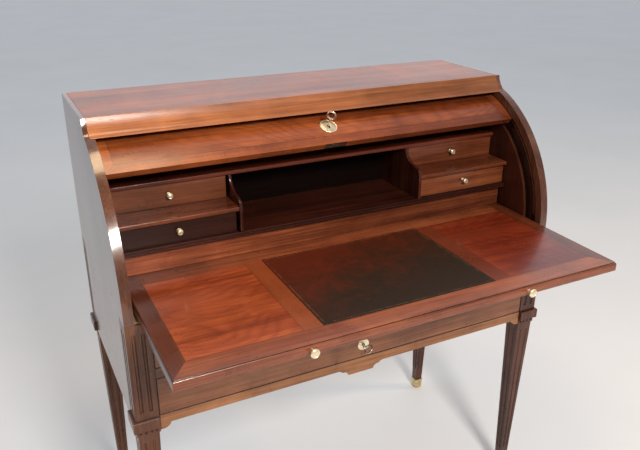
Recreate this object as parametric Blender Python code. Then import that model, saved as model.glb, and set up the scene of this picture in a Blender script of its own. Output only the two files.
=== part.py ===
"""Cylinder desk: a case on four tapered legs, a rigid curved cylinder, a pull-out slide, drawers and locks.

Metres, +Z up, front towards -Y. Every figure is given from the case's own datum; CASE_Y then moves it all
back, so that the bottom centre of the whole object's box is the origin.
"""

import math

import bmesh
import bpy

for leftover in list(bpy.data.objects):
    bpy.data.objects.remove(leftover)

# Overall case
CASE_Y = 0.0310
HALF_WIDTH = 0.500
TOP_Z = 1.0639
FRONT_Y = -0.1414
BACK_Y = 0.3216
CASE_BOTTOM_Z = 0.496
SIDE_THICK = 0.019
SIDE_INNER = HALF_WIDTH - SIDE_THICK
GAP = 0.0003

# Circular ends and the cylinder that turns in them
PIVOT_Y = 0.1723
PIVOT_Z = 0.7406
END_R = 0.3137
POCKET_R = 0.2945
POCKET_DEPTH = 0.006
POCKET_REAR_Y = 0.3110
LINING_R = 0.2625
SHELL_OUTER_R = 0.2925
SHELL_INNER_R = 0.2765
SHELL_HALF = 0.4815
SHELL_LOW = 53.1
SHELL_HIGH = 117.7

# Legs and stiles
STILE = 0.0465
STILE_TOP_Z = 0.7285
COLLAR_LOW_Z = 0.492
COLLAR_HIGH_Z = 0.517
COLLAR_OUT = 0.006
LEG_TOP_HALF = 0.021
LEG_FOOT_HALF = 0.0100
SABOT_Z = 0.034

# Slide
SLIDE_HALF = 0.474
SLIDE_TOP_Z = 0.7549
SLIDE_BOTTOM_Z = 0.7343
SLIDE_FRONT_Y = -0.3753
SLIDE_REAR_Y = 0.0647
LEATHER = (-0.191, 0.191, -0.330, -0.0387)

# Frieze drawers
OPENING_HALF = 0.4535
DRAWER_HALF = 0.4500
DRAWER_FACE_Y = -0.1404
DRAWER_FRONT_THICK = 0.0190
DRAWER_REAR_Y = 0.266
LOWER_DRAWER_Z = (0.5188, 0.6023)
UPPER_DRAWER_Z = (0.6264, 0.7280)
RAIL_Z = (0.6028, 0.6258)

# Small drawers inside
SMALL_X = (0.2280, 0.4735)
SMALL_LOWER = (-0.0020, 0.8137, 0.8597)
SMALL_UPPER = (0.0560, 0.8696, 0.9190)
NICHE_BACK_Y = 0.150

MATERIALS = {
    "mahogany": ((0.30, 0.085, 0.030), 0.30, 0.0),
    "mahogany_dark": ((0.17, 0.045, 0.020), 0.30, 0.0),
    "mahogany_light": ((0.42, 0.16, 0.070), 0.30, 0.0),
    "oak_plain": ((0.42, 0.27, 0.14), 0.65, 0.0),
    "leather": ((0.050, 0.030, 0.020), 0.55, 0.0),
    "brass": ((0.83, 0.62, 0.30), 0.28, 1.0),
    "iron": ((0.20, 0.19, 0.18), 0.45, 1.0),
    "steel": ((0.60, 0.57, 0.53), 0.30, 1.0),
}


def material_for(node, kind):
    colour, roughness, metallic = MATERIALS[kind]
    made = bpy.data.materials.new(node + "_" + kind)
    made.use_nodes = True
    shader = made.node_tree.nodes["Principled BSDF"]
    shader.inputs["Base Color"].default_value = (*colour, 1.0)
    shader.inputs["Roughness"].default_value = roughness
    shader.inputs["Metallic"].default_value = metallic
    made.diffuse_color = (*colour, 1.0)
    return made


def mesh_object(name, points, faces, kind, smooth=None):
    """One closed mesh from points at the case datum, turned to face out."""
    mesh = bpy.data.meshes.new(name)
    mesh.from_pydata([(x, y + CASE_Y, z) for x, y, z in points], [], faces)
    work = bmesh.new()
    work.from_mesh(mesh)
    bmesh.ops.remove_doubles(work, verts=work.verts, dist=1e-6)
    bmesh.ops.recalc_face_normals(work, faces=work.faces)
    work.to_mesh(mesh)
    work.free()
    made = bpy.data.objects.new(name, mesh)
    bpy.context.scene.collection.objects.link(made)
    if kind is not None:
        mesh.materials.append(material_for(name, kind))
    if smooth is not None:
        mesh.shade_smooth()
        mesh.set_sharp_from_angle(angle=math.radians(smooth))
    return made


def join_shapes(shapes):
    """Points and faces of several closed shapes as one list."""
    points = []
    faces = []
    for more_points, more_faces in shapes:
        start = len(points)
        points.extend(more_points)
        faces.extend([[index + start for index in face] for face in more_faces])
    return points, faces


def loft(rings):
    """A closed shape through rings with the same number of points."""
    count = len(rings[0])
    points = [point for ring in rings for point in ring]
    faces = [list(range(count))[::-1]]
    for level in range(len(rings) - 1):
        low = level * count
        for index in range(count):
            after = (index + 1) % count
            faces.append([low + index, low + after, low + count + after, low + count + index])
    faces.append([(len(rings) - 1) * count + index for index in range(count)])
    return points, faces


def box(x0, x1, y0, y1, z0, z1):
    ring = [(x0, y0), (x1, y0), (x1, y1), (x0, y1)]
    return loft([[(x, y, z) for x, y in ring] for z in (z0, z1)])


def prism_x(outline, x0, x1):
    """Outline of (y, z) points drawn out along X."""
    return loft([[(x, y, z) for y, z in outline] for x in (x0, x1)])


def prism_y(outline, y0, y1):
    """Outline of (x, z) points drawn out along Y."""
    return loft([[(x, y, z) for x, z in outline] for y in (y0, y1)])


def round_ring(centre, along, across, radius, count):
    """Points of a circle at right angles to the unit vector along."""
    up = (
        along[1] * across[2] - along[2] * across[1],
        along[2] * across[0] - along[0] * across[2],
        along[0] * across[1] - along[1] * across[0],
    )
    ring = []
    for step in range(count):
        turn = 2 * math.pi * (step + 0.5) / count
        ring.append(
            tuple(
                centre[k] + radius * (math.cos(turn) * across[k] + math.sin(turn) * up[k])
                for k in range(3)
            )
        )
    return ring


def turned(base, along, across, profile, count=20):
    """A solid turned about a line: profile is (distance along, radius)."""
    rings = []
    for distance, radius in profile:
        centre = tuple(base[k] + distance * along[k] for k in range(3))
        rings.append(round_ring(centre, along, across, radius, count))
    return loft(rings)


def washer(base, along, across, outer, inner, low, high, edge, count=28):
    """A round plate with a hole through it and a bevelled outer rim."""
    profile = [(low, inner), (low, outer), (high - edge, outer), (high, outer - edge), (high, inner)]
    points = []
    for distance, radius in profile:
        centre = tuple(base[k] + distance * along[k] for k in range(3))
        points.extend(round_ring(centre, along, across, radius, count))
    faces = []
    for level in range(len(profile)):
        low_start = level * count
        high_start = (level + 1) % len(profile) * count
        for index in range(count):
            after = (index + 1) % count
            faces.append(
                [low_start + index, low_start + after, high_start + after, high_start + index]
            )
    return points, faces


def ring_bow(centre, axis_a, axis_b, across, radius, wire, count=20, sides=8):
    """A torus whose circle lies in the plane of axis_a and axis_b."""
    points = []
    for step in range(count):
        turn = 2 * math.pi * step / count
        out = tuple(math.cos(turn) * axis_a[k] + math.sin(turn) * axis_b[k] for k in range(3))
        for side in range(sides):
            roll = 2 * math.pi * side / sides
            reach = radius + wire * math.cos(roll)
            points.append(
                tuple(
                    centre[k] + reach * out[k] + wire * math.sin(roll) * across[k] for k in range(3)
                )
            )
    faces = []
    for step in range(count):
        start = step * sides
        following = (step + 1) % count * sides
        for side in range(sides):
            after = (side + 1) % sides
            faces.append([start + side, start + after, following + after, following + side])
    return points, faces


def arc(radius, start, end, steps):
    """(y, z) points on a circle about the pivot; 0 degrees points forward, 90 up."""
    found = []
    for step in range(steps + 1):
        turn = math.radians(start + (end - start) * step / steps)
        found.append((PIVOT_Y - radius * math.cos(turn), PIVOT_Z + radius * math.sin(turn)))
    return found


def cutter(name, shape):
    made = mesh_object(name, *shape, None)
    made.hide_render = True
    made.display_type = "WIRE"
    return made


def combine(target, name, shape, operation="DIFFERENCE"):
    modifier = target.modifiers.new(name, "BOOLEAN")
    modifier.operation = operation
    modifier.solver = "EXACT"
    modifier.object = cutter(target.name + "_" + name, shape)
    return target


def set_origin(target, point):
    """Moves the object's origin to a point of the case datum, leaving the shape where it is."""
    shift = (point[0], point[1] + CASE_Y, point[2])
    for vertex in target.data.vertices:
        vertex.co.x -= shift[0]
        vertex.co.y -= shift[1]
        vertex.co.z -= shift[2]
    target.location = shift
    return target


# ---- side boards -------------------------------------------------------------------------------------
COVE = [(0.079, TOP_Z), (0.0755, 1.0525), (0.0690, 1.0420), (0.0640, 1.0363), (0.0580, 1.0316)]
LEG_BACK_Y = FRONT_Y + STILE
REAR_LEG_Y = BACK_Y - STILE

side_outline = [
    (LEG_BACK_Y + GAP, CASE_BOTTOM_Z),
    (REAR_LEG_Y - GAP, CASE_BOTTOM_Z),
    (REAR_LEG_Y - GAP, STILE_TOP_Z + GAP),
    (BACK_Y, STILE_TOP_Z + GAP),
    (BACK_Y, TOP_Z),
]
side_outline += COVE + arc(END_R, 66.0, 0.0, 22)
side_outline += [(FRONT_Y, STILE_TOP_Z + GAP), (LEG_BACK_Y + GAP, STILE_TOP_Z + GAP)]

# The pocket stops short of the rear edge, so nothing shows beside the back panel
pocket_outline = arc(POCKET_R, -0.4, 117.7, 30)
pocket_outline += [(POCKET_REAR_Y, 0.99), (POCKET_REAR_Y, 0.7385), (0.1950, 0.7385), (0.1950, 0.7215)]
pocket_outline += [(0.1500, 0.7215), (0.1500, 0.7385)]

TOP_BOARD_Z = 1.0420
TOP_BOARD_HALF = 0.4905
PIN_R = 0.0045
FASCIA_BACK = [(0.0560, 1.0278), (0.0640, 1.0300), (0.0725, 1.0365), (0.0790, 1.0460), (0.0870, TOP_Z)]
rebate_outline = [(0.0400, 1.0900), (0.0400, 1.0330), (0.0504, 1.0294), (0.0561, 1.0275)]
rebate_outline += [(0.0642, 1.0298), (0.0727, 1.0363), (0.0764, TOP_BOARD_Z - GAP)]
rebate_outline += [(0.3400, TOP_BOARD_Z - GAP), (0.3400, 1.0900)]

for side, sign in (("left", -1), ("right", 1)):
    panel = mesh_object(
        "side_" + side,
        *prism_x(side_outline, sign * SIDE_INNER, sign * HALF_WIDTH),
        "mahogany",
        30,
    )
    inner = sign * (SIDE_INNER - 0.004)
    combine(panel, "pocket", prism_x(pocket_outline, inner, sign * (SIDE_INNER + POCKET_DEPTH)))
    combine(
        panel,
        "rebate",
        prism_x(rebate_outline, inner, sign * (TOP_BOARD_HALF + GAP)),
    )
    combine(
        panel,
        "pin_hole",
        turned(
            (sign * 0.484, PIVOT_Y, PIVOT_Z),
            (sign, 0, 0),
            (0, 1, 0),
            [(0.0, PIN_R + 0.0006), (0.0130, PIN_R + 0.0006)],
        ),
    )
    if side == "left":
        combine(
            panel,
            "stop_hole",
            turned(
                (-0.505, -0.041, 0.750), (1, 0, 0), (0, 1, 0), [(0.0, 0.0023), (0.013, 0.0023)], 12
            ),
        )

# ---- top, fascia, back -------------------------------------------------------------------------------
mesh_object(
    "top_board",
    *prism_x(
        [
            (0.0873, TOP_Z),
            (0.0793, 1.0460),
            (0.0766, TOP_BOARD_Z),
            (BACK_Y, TOP_BOARD_Z),
            (BACK_Y, TOP_Z),
        ],
        -TOP_BOARD_HALF,
        TOP_BOARD_HALF,
    ),
    "mahogany_light",
    30,
)
fascia_outline = COVE + [(0.0505, 1.0297)] + FASCIA_BACK
mesh_object(
    "fascia",
    *prism_x(fascia_outline, -TOP_BOARD_HALF, TOP_BOARD_HALF),
    "mahogany",
    30,
)
BACK_FRONT_Y = BACK_Y - 0.0125
mesh_object(
    "back_panel",
    *prism_y(
        [
            (-(OPENING_HALF - GAP), CASE_BOTTOM_Z),
            (OPENING_HALF - GAP, CASE_BOTTOM_Z),
            (OPENING_HALF - GAP, STILE_TOP_Z + GAP),
            (SIDE_INNER - GAP, STILE_TOP_Z + GAP),
            (SIDE_INNER - GAP, TOP_BOARD_Z - GAP),
            (-(SIDE_INNER - GAP), TOP_BOARD_Z - GAP),
            (-(SIDE_INNER - GAP), STILE_TOP_Z + GAP),
            (-(OPENING_HALF - GAP), STILE_TOP_Z + GAP),
        ],
        BACK_FRONT_Y,
        BACK_Y,
    ),
    "oak_plain",
)


# ---- legs and sabots ---------------------------------------------------------------------------------
def square(cx, cy, half, z):
    return [
        (cx - half, cy - half, z),
        (cx + half, cy - half, z),
        (cx + half, cy + half, z),
        (cx - half, cy + half, z),
    ]


def leg_half(z):
    return LEG_FOOT_HALF + (LEG_TOP_HALF - LEG_FOOT_HALF) * z / 0.480


LEG_CX = HALF_WIDTH - STILE / 2


def leg_sections(cx, cy):
    """Square sections from the foot up."""
    stile = STILE / 2
    return [
        square(cx, cy, leg_half(0.004) - 0.0030, 0.004),
        square(cx, cy, leg_half(SABOT_Z + GAP) - 0.0030, SABOT_Z + GAP),
        square(cx, cy, leg_half(SABOT_Z + GAP), SABOT_Z + GAP),
        square(cx, cy, LEG_TOP_HALF, 0.4800),
        square(cx, cy, stile, 0.4800),
        square(cx, cy, stile, STILE_TOP_Z),
    ]


def collar_sections(cx, cy, out_x, out_y):
    """The block collar stands out on the two outer faces only."""
    stile = STILE / 2
    rings = []
    for z, out in (
        (COLLAR_LOW_Z, COLLAR_OUT - 0.0015),
        (COLLAR_LOW_Z + 0.0015, COLLAR_OUT),
        (COLLAR_HIGH_Z - 0.0015, COLLAR_OUT),
        (COLLAR_HIGH_Z, COLLAR_OUT - 0.0015),
    ):
        x = sorted((cx - out_x * (stile - 0.001), cx + out_x * (stile + out)))
        y = sorted((cy - out_y * (stile - 0.001), cy + out_y * (stile + out)))
        rings.append([(x[0], y[0], z), (x[1], y[0], z), (x[1], y[1], z), (x[0], y[1], z)])
    return rings


def flute(start, end, out, depth_start, width, count=8):
    """A round-bottomed groove cutter from start to end, centred on the face that out points from."""
    along = [end[k] - start[k] for k in range(3)]
    length = math.sqrt(sum(value * value for value in along))
    along = [value / length for value in along]
    across = (
        along[1] * out[2] - along[2] * out[1],
        along[2] * out[0] - along[0] * out[2],
        along[0] * out[1] - along[1] * out[0],
    )
    profile = [(0.0, width * 0.35), (width * 0.3, width * 0.75), (width * 0.9, width)]
    profile += [(length - width * 0.9, width), (length - width * 0.3, width * 0.75), (length, width * 0.35)]
    base = tuple(start[k] + depth_start * out[k] for k in range(3))
    return turned(base, along, across, profile, count)


def leg_cutters(cx, cy, out_x, out_y):
    """Flutes down the leg and the stile, and the notches of the band, as separate closed bars."""
    bars = []
    for out in ((1, 0, 0), (-1, 0, 0), (0, 1, 0), (0, -1, 0)):
        side = (out[1], out[0], 0)
        for offset in (-0.5, 0.5):
            z0 = 0.075
            z1 = 0.462
            start = [cx, cy, z0]
            end = [cx, cy, z1]
            for k in range(2):
                start[k] += out[k] * leg_half(z0) + side[k] * offset * leg_half(z0) * 0.86
                end[k] += out[k] * leg_half(z1) + side[k] * offset * leg_half(z1) * 0.86
            bars.append(flute(start, end, out, 0.0008, 0.0030))
    for out, side in (((out_x, 0, 0), (0, 1, 0)), ((0, out_y, 0), (1, 0, 0))):
        for offset in (-0.009, 0.009):
            start = [cx + out[0] * STILE / 2 + side[0] * offset, cy + out[1] * STILE / 2 + side[1] * offset]
            bars.append(flute((*start, 0.533), (*start, 0.710), out, 0.0010, 0.0042))
        for step in range(4):
            offset = (step - 1.5) * 0.0108
            centre = (
                cx + out[0] * STILE / 2 + side[0] * offset,
                cy + out[1] * STILE / 2 + side[1] * offset,
            )
            ring_in = []
            ring_out = []
            for across, z in ((-0.0042, 0.4905), (0.0042, 0.4905), (0.0, 0.4822)):
                point = (centre[0] + side[0] * across, centre[1] + side[1] * across, z)
                ring_in.append(tuple(point[k] - 0.0018 * out[k] for k in range(3)))
                ring_out.append(tuple(point[k] + 0.0040 * out[k] for k in range(3)))
            bars.append(loft([ring_in, ring_out]))
    return bars


LEG_PLACES = {
    "front_left": (-LEG_CX, FRONT_Y + STILE / 2, -1, -1),
    "front_right": (LEG_CX, FRONT_Y + STILE / 2, 1, -1),
    "rear_left": (-LEG_CX, BACK_Y - STILE / 2, -1, 1),
    "rear_right": (LEG_CX, BACK_Y - STILE / 2, 1, 1),
}
for place, (cx, cy, out_x, out_y) in LEG_PLACES.items():
    leg = mesh_object("leg_" + place, *loft(leg_sections(cx, cy)), "mahogany")
    combine(leg, "collar", loft(collar_sections(cx, cy, out_x, out_y)), "UNION")
    combine(leg, "flutes", join_shapes(leg_cutters(cx, cy, out_x, out_y)))
    sabot_outer = [(0.0, 0.0), (0.0, 0.0095), (0.003, 0.0118), (SABOT_Z - 0.006, 0.0124)]
    sabot_outer += [(SABOT_Z - 0.004, 0.0136), (SABOT_Z, 0.0136)]
    rings = [square(cx, cy, half, z) for z, half in sabot_outer[1:]]
    sabot = mesh_object("sabot_" + place, *loft(rings), "brass")
    socket = [
        square(cx, cy, leg_half(0.004) - 0.0030 + GAP, 0.004 - GAP),
        square(cx, cy, leg_half(SABOT_Z) - 0.0030 + GAP, SABOT_Z + 0.002),
    ]
    combine(sabot, "socket", loft(socket))

# ---- apron, rails and boards -------------------------------------------------------------------------
APRON_Z = (0.4959, 0.5183)
INNER = OPENING_HALF - GAP


def apron_half_outline():
    """Lower edge of the right half, from the centre out."""
    found = [(0.0, 0.4800), (0.0300, 0.4800), (0.0320, 0.4812), (0.0345, 0.4865), (0.0390, 0.4895)]
    found += [(0.0450, 0.4902), (0.0480, 0.4912), (0.0500, 0.4935), (0.0560, APRON_Z[0])]
    for step in range(6):
        turn = math.radians(90 * step / 5)
        found.append((INNER - 0.0220 + 0.0180 * (1 - math.cos(turn)), APRON_Z[0] - 0.0125 * math.sin(turn)))
    found.append((INNER, APRON_Z[0] - 0.0125))
    return found


half = apron_half_outline()
apron_outline = half + [(INNER, APRON_Z[1]), (-INNER, APRON_Z[1])]
apron_outline += [(-x, z) for x, z in half[:0:-1]]
mesh_object("apron_rail", *prism_y(apron_outline, DRAWER_FACE_Y, -0.1160), "mahogany_light")

DIVIDER_BACK_Y = REAR_LEG_Y - GAP
BOARD_HALF = SIDE_INNER - GAP
divider_outline = [
    (-BOARD_HALF, 0.6158),
    (BOARD_HALF, 0.6158),
    (BOARD_HALF, 0.7280),
    (0.4540, 0.7280),
    (0.4540, RAIL_Z[1]),
    (-0.4540, RAIL_Z[1]),
    (-0.4540, 0.7280),
    (-BOARD_HALF, 0.7280),
]
divider = mesh_object(
    "divider_rail",
    *prism_y(divider_outline, LEG_BACK_Y + GAP, DIVIDER_BACK_Y),
    "mahogany_dark",
)
combine(
    divider,
    "front_rail",
    box(-INNER, INNER, DRAWER_FACE_Y, LEG_BACK_Y + 0.006, RAIL_Z[0], RAIL_Z[1] - 0.00005),
    "UNION",
)
LOCK_X = 0.004
LOCK_Z = 0.551
combine(divider, "mortise", box(LOCK_X - 0.012, LOCK_X + 0.012, -0.1170, -0.1095, 0.59, 0.6130))
mesh_object(
    "slide_dustboard",
    *box(-BOARD_HALF, BOARD_HALF, -0.1390, BACK_FRONT_Y - GAP, STILE_TOP_Z + GAP, 0.7338),
    "oak_plain",
)
for side, sign in (("left", -1), ("right", 1)):
    runner_outline = [
        (sign * 0.430, 0.4975),
        (sign * BOARD_HALF, 0.4975),
        (sign * BOARD_HALF, 0.6150),
        (sign * 0.4540, 0.6150),
        (sign * 0.4540, APRON_Z[1]),
        (sign * 0.430, APRON_Z[1]),
    ]
    mesh_object(
        "drawer_runner_" + side,
        *prism_y(runner_outline, LEG_BACK_Y + GAP, DIVIDER_BACK_Y),
        "oak_plain",
    )

# ---- interior ----------------------------------------------------------------------------------------
for side, sign in (("left", -1), ("right", 1)):
    lining_outline = arc(LINING_R, 0.0, 121.3, 24)
    lining_outline += [(BACK_FRONT_Y - GAP, 0.9640), (BACK_FRONT_Y - GAP, 0.7341)]
    lining_outline += [(PIVOT_Y - LINING_R, 0.7341)]
    mesh_object(
        "lining_" + side,
        *prism_x(lining_outline, sign * 0.4750, sign * (SIDE_INNER - GAP)),
        "mahogany_dark",
        30,
    )

GRADIN_HALF = 0.4747
BASE_Z = (0.8025, 0.8134)
base_outline = [(-0.0085, BASE_Z[0]), (-0.0120, 0.8050), (-0.0120, 0.8062), (-0.0098, 0.8075)]
base_outline += [(-0.0098, 0.8085), (-0.0112, 0.8095), (-0.0112, 0.8125), (-0.0100, BASE_Z[1])]
base_outline += [(BACK_FRONT_Y - GAP, BASE_Z[1]), (BACK_FRONT_Y - GAP, BASE_Z[0])]
mesh_object("gradin_base", *prism_x(base_outline, -GRADIN_HALF, GRADIN_HALF), "mahogany_light")
mesh_object("riser", *box(-0.4705, 0.4705, 0.0050, 0.0250, 0.7556, BASE_Z[0] - GAP), "mahogany")

GRADIN_TOP_Z = (0.9195, 0.9280)
mesh_object(
    "gradin_top",
    *prism_x(
        [
            (0.0520, GRADIN_TOP_Z[0]),
            (0.0508, 0.9208),
            (0.0508, 0.9268),
            (0.0520, GRADIN_TOP_Z[1]),
            (0.2700, GRADIN_TOP_Z[1]),
            (0.2700, GRADIN_TOP_Z[0]),
        ],
        -GRADIN_HALF,
        GRADIN_HALF,
    ),
    "mahogany_light",
)
DIVIDER_X = (0.2165, 0.2235)
divider_front = [(-0.0110, BASE_Z[1] + GAP), (-0.0112, 0.8450), (-0.0108, 0.8700), (-0.0070, 0.8800)]
divider_front += [(0.0010, 0.8850), (0.0130, 0.8872), (0.0260, 0.8892), (0.0370, 0.8940)]
divider_front += [(0.0450, 0.9020), (0.0495, 0.9110), (0.0505, GRADIN_TOP_Z[0] - GAP)]
divider_outline = divider_front + [(NICHE_BACK_Y - GAP, GRADIN_TOP_Z[0] - GAP)]
divider_outline += [(NICHE_BACK_Y - GAP, BASE_Z[1] + GAP)]
for side, sign in (("left", -1), ("right", 1)):
    mesh_object(
        "gradin_divider_" + side,
        *prism_x(divider_outline, sign * DIVIDER_X[0], sign * DIVIDER_X[1]),
        "mahogany_light",
        40,
    )
    mesh_object(
        "step_shelf_" + side,
        *prism_x(
            [
                (-0.0090, 0.8600),
                (-0.0102, 0.8612),
                (-0.0102, 0.8680),
                (-0.0090, 0.8692),
                (NICHE_BACK_Y - GAP, 0.8692),
                (NICHE_BACK_Y - GAP, 0.8600),
            ],
            sign * (DIVIDER_X[1] + GAP),
            sign * GRADIN_HALF,
        ),
        "mahogany_light",
    )
mesh_object(
    "gradin_back",
    *box(
        -GRADIN_HALF, GRADIN_HALF, NICHE_BACK_Y, NICHE_BACK_Y + 0.008, BASE_Z[1] + GAP, GRADIN_TOP_Z[0] - GAP
    ),
    "mahogany_dark",
)

# ---- slide -------------------------------------------------------------------------------------------
slide_levels = [(SLIDE_BOTTOM_Z, 0.0020), (0.7352, 0.0004), (0.7370, 0.0), (0.7495, 0.0)]
slide_levels += [(0.7515, 0.0005), (0.7529, 0.0016), (0.7533, 0.0034), (0.7541, 0.0034)]
slide_levels += [(0.7544, 0.0026), (SLIDE_TOP_Z, 0.0026)]
slide_rings = []
for z, inset in slide_levels:
    ring_half = SLIDE_HALF - inset
    ring_front = SLIDE_FRONT_Y + inset
    slide_rings.append(
        [
            (-ring_half, ring_front, z),
            (ring_half, ring_front, z),
            (ring_half, SLIDE_REAR_Y, z),
            (-ring_half, SLIDE_REAR_Y, z),
        ]
    )
slide = mesh_object("slide_board", *loft(slide_rings), "mahogany")
combine(slide, "recess", box(*LEATHER, SLIDE_TOP_Z - 0.0014, SLIDE_TOP_Z + 0.004))
mesh_object(
    "slide_leather",
    *box(
        LEATHER[0] + GAP,
        LEATHER[1] - GAP,
        LEATHER[2] + GAP,
        LEATHER[3] - GAP,
        SLIDE_TOP_Z - 0.0011,
        SLIDE_TOP_Z + 0.0001,
    ),
    "leather",
)
SLIDE_KNOB = [(0.0, 0.0038), (0.0040, 0.0036), (0.0066, 0.0044), (0.0086, 0.0068), (0.0100, 0.0083)]
SLIDE_KNOB += [(0.0118, 0.0087), (0.0131, 0.0083), (0.0137, 0.0072), (0.0140, 0.0050)]
SMALL_KNOB = [(0.0, 0.0046), (0.0010, 0.0046), (0.0015, 0.0025), (0.0046, 0.0023), (0.0060, 0.0047)]
SMALL_KNOB += [(0.0078, 0.0063), (0.0094, 0.0065), (0.0110, 0.0059), (0.0124, 0.0040), (0.0130, 0.0016)]
for side, sign in (("left", -1), ("right", 1)):
    mesh_object(
        "slide_knob_" + side,
        *turned((sign * 0.236, SLIDE_FRONT_Y - GAP, 0.7440), (0, -1, 0), (1, 0, 0), SLIDE_KNOB),
        "brass",
        50,
    )


# ---- cylinder ----------------------------------------------------------------------------------------
def around(angle):
    """Outward and edge-ward unit vectors at an angle about the pivot."""
    turn = math.radians(angle)
    return (0, -math.cos(turn), math.sin(turn)), (0, -math.sin(turn), -math.cos(turn))


def oriented_box(angle, x0, x1, low, high, near, far):
    """A box at an angle: low to high outward from the pivot, near to far towards the lower edge."""
    outward, edgeward = around(angle)
    points = []
    for height in (low, high):
        for x, run in ((x0, near), (x1, near), (x1, far), (x0, far)):
            points.append(
                (
                    x,
                    PIVOT_Y + height * outward[1] + run * edgeward[1],
                    PIVOT_Z + height * outward[2] + run * edgeward[2],
                )
            )
    faces = [[3, 2, 1, 0], [4, 5, 6, 7], [0, 1, 5, 4], [1, 2, 6, 5], [2, 3, 7, 6], [3, 0, 4, 7]]
    return points, faces


PIVOT = (0.0, PIVOT_Y, PIVOT_Z)
shell_outline = arc(SHELL_OUTER_R, SHELL_LOW, SHELL_HIGH, 20)
shell_outline += arc(SHELL_INNER_R, SHELL_HIGH, SHELL_LOW, 20)
shell = mesh_object(
    "cylinder_shell", *prism_x(shell_outline, -SHELL_HALF, SHELL_HALF), "mahogany", 30
)
set_origin(shell, PIVOT)

# The lock sits in a pocket let in from the inner face; its key stands square to the shell.
KEY_X = 0.004
KEY_ANGLE = 62.7
LOCK_TOP = 0.2880
KEY_BASE = (KEY_X, PIVOT_Y, PIVOT_Z)
combine(
    shell, "lock_pocket", oriented_box(KEY_ANGLE, KEY_X - 0.026, KEY_X + 0.026, 0.262, LOCK_TOP, -0.020, 0.060)
)
outward, edgeward = around(KEY_ANGLE)
combine(shell, "keyhole", turned(KEY_BASE, outward, (1, 0, 0), [(0.280, 0.0034), (0.300, 0.0034)], 16))
lock = mesh_object(
    "cylinder_lock",
    *oriented_box(KEY_ANGLE, KEY_X - 0.0257, KEY_X + 0.0257, 0.2725, LOCK_TOP - GAP, -0.0197, 0.0450),
    "iron",
)
set_origin(lock, PIVOT)
combine(
    lock,
    "chamber",
    turned(KEY_BASE, outward, (1, 0, 0), [(0.2750, 0.0105), (0.2845, 0.0105)], 24),
)
combine(
    lock,
    "stem_hole",
    turned(KEY_BASE, outward, (1, 0, 0), [(0.2840, 0.0034), (0.2960, 0.0034)], 16),
)
combine(
    lock,
    "bolt_way",
    oriented_box(KEY_ANGLE, KEY_X - 0.0095, KEY_X + 0.0095, 0.2780, 0.2860, 0.0125, 0.060),
)
bolt = mesh_object(
    "cylinder_bolt",
    *oriented_box(KEY_ANGLE, KEY_X - 0.0088, KEY_X + 0.0088, 0.2788, 0.2852, 0.0135, 0.0440),
    "steel",
)
set_origin(bolt, PIVOT)
escutcheon_base = tuple(PIVOT[k] + (SHELL_OUTER_R + GAP) * outward[k] for k in range(3))
escutcheon_base = (KEY_X, escutcheon_base[1], escutcheon_base[2])
escutcheon = mesh_object(
    "cylinder_escutcheon",
    *washer(escutcheon_base, outward, (1, 0, 0), 0.0200, 0.0034, 0.0, 0.0016, 0.0006),
    "brass",
    40,
)
combine(
    escutcheon,
    "slot",
    oriented_box(KEY_ANGLE, KEY_X - 0.0013, KEY_X + 0.0013, 0.2915, 0.2970, 0.0, 0.0085),
)
combine(
    shell, "slot", oriented_box(KEY_ANGLE, KEY_X - 0.0013, KEY_X + 0.0013, 0.2860, 0.2970, 0.0, 0.0085)
)
set_origin(escutcheon, PIVOT)


def key_shape(base, along, across, inside, ring_at, bit):
    """A key along a line: a stem, a bit at its inner end and a ring bow; across is the bit's direction."""
    side = (
        along[1] * across[2] - along[2] * across[1],
        along[2] * across[0] - along[0] * across[2],
        along[0] * across[1] - along[1] * across[0],
    )
    stem = turned(base, along, across, [(inside, 0.0020), (ring_at - 0.0085, 0.0020)], 12)
    points = []
    for run in (inside + 0.0008, inside + 0.0042):
        for reach, wide in ((0.0, -0.0010), (bit, -0.0010), (bit, 0.0010), (0.0, 0.0010)):
            points.append(
                tuple(base[k] + run * along[k] + reach * across[k] + wide * side[k] for k in range(3))
            )
    flag = (
        points,
        [[3, 2, 1, 0], [4, 5, 6, 7], [0, 1, 5, 4], [1, 2, 6, 5], [2, 3, 7, 6], [3, 0, 4, 7]],
    )
    centre = tuple(base[k] + ring_at * along[k] for k in range(3))
    bow = ring_bow(centre, along, across, side, 0.0092, 0.0018)
    return stem, flag, bow


def key_object(name, base, along, across, inside, ring_at, bit):
    stem, flag, bow = key_shape(base, along, across, inside, ring_at, bit)
    made = mesh_object(name, *bow, "steel", 40)
    combine(made, "stem", stem, "UNION")
    combine(made, "bit", flag, "UNION")
    return made


KEY_REST = math.radians(37)
key_across = (
    math.cos(KEY_REST),
    math.sin(KEY_REST) * edgeward[1],
    math.sin(KEY_REST) * edgeward[2],
)
key = key_object("cylinder_key", KEY_BASE, outward, key_across, 0.2756, SHELL_OUTER_R + 0.0310, 0.0080)
set_origin(key, (KEY_X, escutcheon_base[1], escutcheon_base[2]))

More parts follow.
